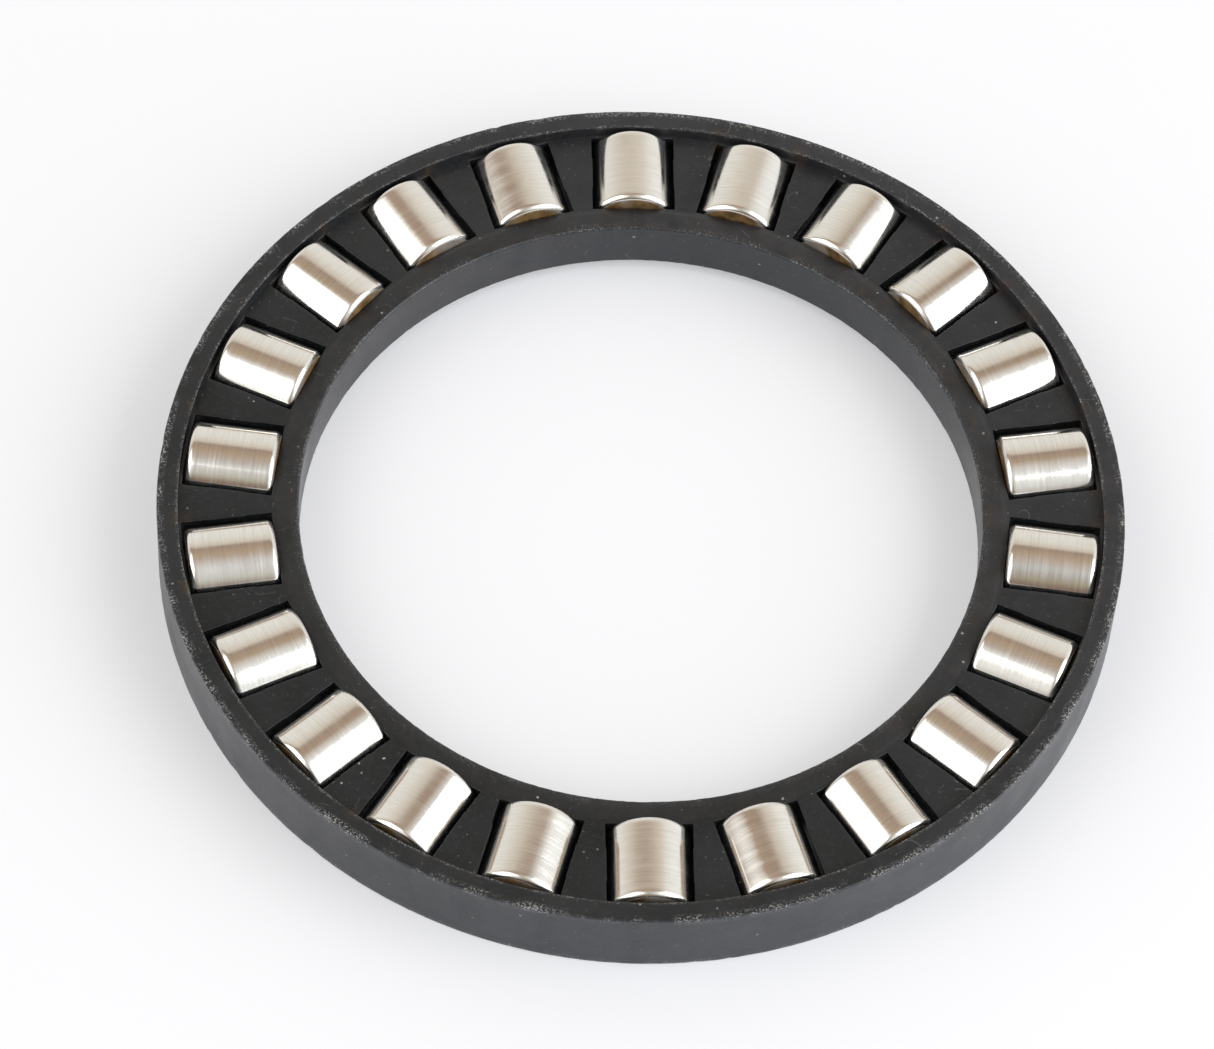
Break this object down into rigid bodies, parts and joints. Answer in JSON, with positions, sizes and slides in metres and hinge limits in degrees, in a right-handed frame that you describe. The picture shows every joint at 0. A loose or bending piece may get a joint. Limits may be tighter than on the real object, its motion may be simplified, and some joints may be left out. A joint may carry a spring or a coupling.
{
  "type": "axial cylindrical roller and cage assembly",
  "caption": "Flat ring of ground steel cylindrical rollers lying along radii, held in the pockets of a one-piece black moulded cage with a raised outer rim.",
  "frame": {"origin": "on the ring axis, in the plane that the undersides of the rollers touch, which is the lower raceway plane", "axes": "+Z along the ring axis, away from the lower raceway; +X along the axis of roller_01; the rollers are numbered counter-clockwise seen from +Z"},
  "size_m": [0.085, 0.085, 0.0078],
  "materials": {
    "cage": "matte moulded glass-filled polyamide, charcoal black",
    "roller": "ground and polished bearing steel"
  },
  "bodies": {
    "cage": {"cage": "cage"},
    "roller_01": {"roller_01": "roller"},
    "roller_02": {"roller_02": "roller"},
    "roller_03": {"roller_03": "roller"},
    "roller_04": {"roller_04": "roller"},
    "roller_05": {"roller_05": "roller"},
    "roller_06": {"roller_06": "roller"},
    "roller_07": {"roller_07": "roller"},
    "roller_08": {"roller_08": "roller"},
    "roller_09": {"roller_09": "roller"},
    "roller_10": {"roller_10": "roller"},
    "roller_11": {"roller_11": "roller"},
    "roller_12": {"roller_12": "roller"},
    "roller_13": {"roller_13": "roller"},
    "roller_14": {"roller_14": "roller"},
    "roller_15": {"roller_15": "roller"},
    "roller_16": {"roller_16": "roller"},
    "roller_17": {"roller_17": "roller"},
    "roller_18": {"roller_18": "roller"},
    "roller_19": {"roller_19": "roller"},
    "roller_20": {"roller_20": "roller"},
    "roller_21": {"roller_21": "roller"},
    "roller_22": {"roller_22": "roller"}
  },
  "joints": [
    {"name": "roller_01_spin", "type": "hinge", "parent": "cage", "child": "roller_01", "pos_m": [0.03628, 0, 0.0039], "axis": [1, 0, 0], "continuous": true},
    {"name": "roller_02_spin", "type": "hinge", "parent": "cage", "child": "roller_02", "pos_m": [0.03481, 0.01022, 0.0039], "axis": [0.9595, 0.2817, 0], "continuous": true},
    {"name": "roller_03_spin", "type": "hinge", "parent": "cage", "child": "roller_03", "pos_m": [0.03052, 0.01961, 0.0039], "axis": [0.8413, 0.5406, 0], "continuous": true},
    {"name": "roller_04_spin", "type": "hinge", "parent": "cage", "child": "roller_04", "pos_m": [0.02376, 0.02742, 0.0039], "axis": [0.6549, 0.7557, 0], "continuous": true},
    {"name": "roller_05_spin", "type": "hinge", "parent": "cage", "child": "roller_05", "pos_m": [0.01507, 0.033, 0.0039], "axis": [0.4154, 0.9096, 0], "continuous": true},
    {"name": "roller_06_spin", "type": "hinge", "parent": "cage", "child": "roller_06", "pos_m": [0.00516, 0.03591, 0.0039], "axis": [0.1423, 0.9898, 0], "continuous": true},
    {"name": "roller_07_spin", "type": "hinge", "parent": "cage", "child": "roller_07", "pos_m": [-0.00516, 0.03591, 0.0039], "axis": [-0.1423, 0.9898, 0], "continuous": true},
    {"name": "roller_08_spin", "type": "hinge", "parent": "cage", "child": "roller_08", "pos_m": [-0.01507, 0.033, 0.0039], "axis": [-0.4154, 0.9096, 0], "continuous": true},
    {"name": "roller_09_spin", "type": "hinge", "parent": "cage", "child": "roller_09", "pos_m": [-0.02376, 0.02742, 0.0039], "axis": [-0.6549, 0.7557, 0], "continuous": true},
    {"name": "roller_10_spin", "type": "hinge", "parent": "cage", "child": "roller_10", "pos_m": [-0.03052, 0.01961, 0.0039], "axis": [-0.8413, 0.5406, 0], "continuous": true},
    {"name": "roller_11_spin", "type": "hinge", "parent": "cage", "child": "roller_11", "pos_m": [-0.03481, 0.01022, 0.0039], "axis": [-0.9595, 0.2817, 0], "continuous": true},
    {"name": "roller_12_spin", "type": "hinge", "parent": "cage", "child": "roller_12", "pos_m": [-0.03628, 0, 0.0039], "axis": [-1, 0, 0], "continuous": true},
    {"name": "roller_13_spin", "type": "hinge", "parent": "cage", "child": "roller_13", "pos_m": [-0.03481, -0.01022, 0.0039], "axis": [-0.9595, -0.2817, 0], "continuous": true},
    {"name": "roller_14_spin", "type": "hinge", "parent": "cage", "child": "roller_14", "pos_m": [-0.03052, -0.01961, 0.0039], "axis": [-0.8413, -0.5406, 0], "continuous": true},
    {"name": "roller_15_spin", "type": "hinge", "parent": "cage", "child": "roller_15", "pos_m": [-0.02376, -0.02742, 0.0039], "axis": [-0.6549, -0.7557, 0], "continuous": true},
    {"name": "roller_16_spin", "type": "hinge", "parent": "cage", "child": "roller_16", "pos_m": [-0.01507, -0.033, 0.0039], "axis": [-0.4154, -0.9096, 0], "continuous": true},
    {"name": "roller_17_spin", "type": "hinge", "parent": "cage", "child": "roller_17", "pos_m": [-0.00516, -0.03591, 0.0039], "axis": [-0.1423, -0.9898, 0], "continuous": true},
    {"name": "roller_18_spin", "type": "hinge", "parent": "cage", "child": "roller_18", "pos_m": [0.00516, -0.03591, 0.0039], "axis": [0.1423, -0.9898, 0], "continuous": true},
    {"name": "roller_19_spin", "type": "hinge", "parent": "cage", "child": "roller_19", "pos_m": [0.01507, -0.033, 0.0039], "axis": [0.4154, -0.9096, 0], "continuous": true},
    {"name": "roller_20_spin", "type": "hinge", "parent": "cage", "child": "roller_20", "pos_m": [0.02376, -0.02742, 0.0039], "axis": [0.6549, -0.7557, 0], "continuous": true},
    {"name": "roller_21_spin", "type": "hinge", "parent": "cage", "child": "roller_21", "pos_m": [0.03052, -0.01961, 0.0039], "axis": [0.8413, -0.5406, 0], "continuous": true},
    {"name": "roller_22_spin", "type": "hinge", "parent": "cage", "child": "roller_22", "pos_m": [0.03481, -0.01022, 0.0039], "axis": [0.9595, -0.2817, 0], "continuous": true}
  ]
}
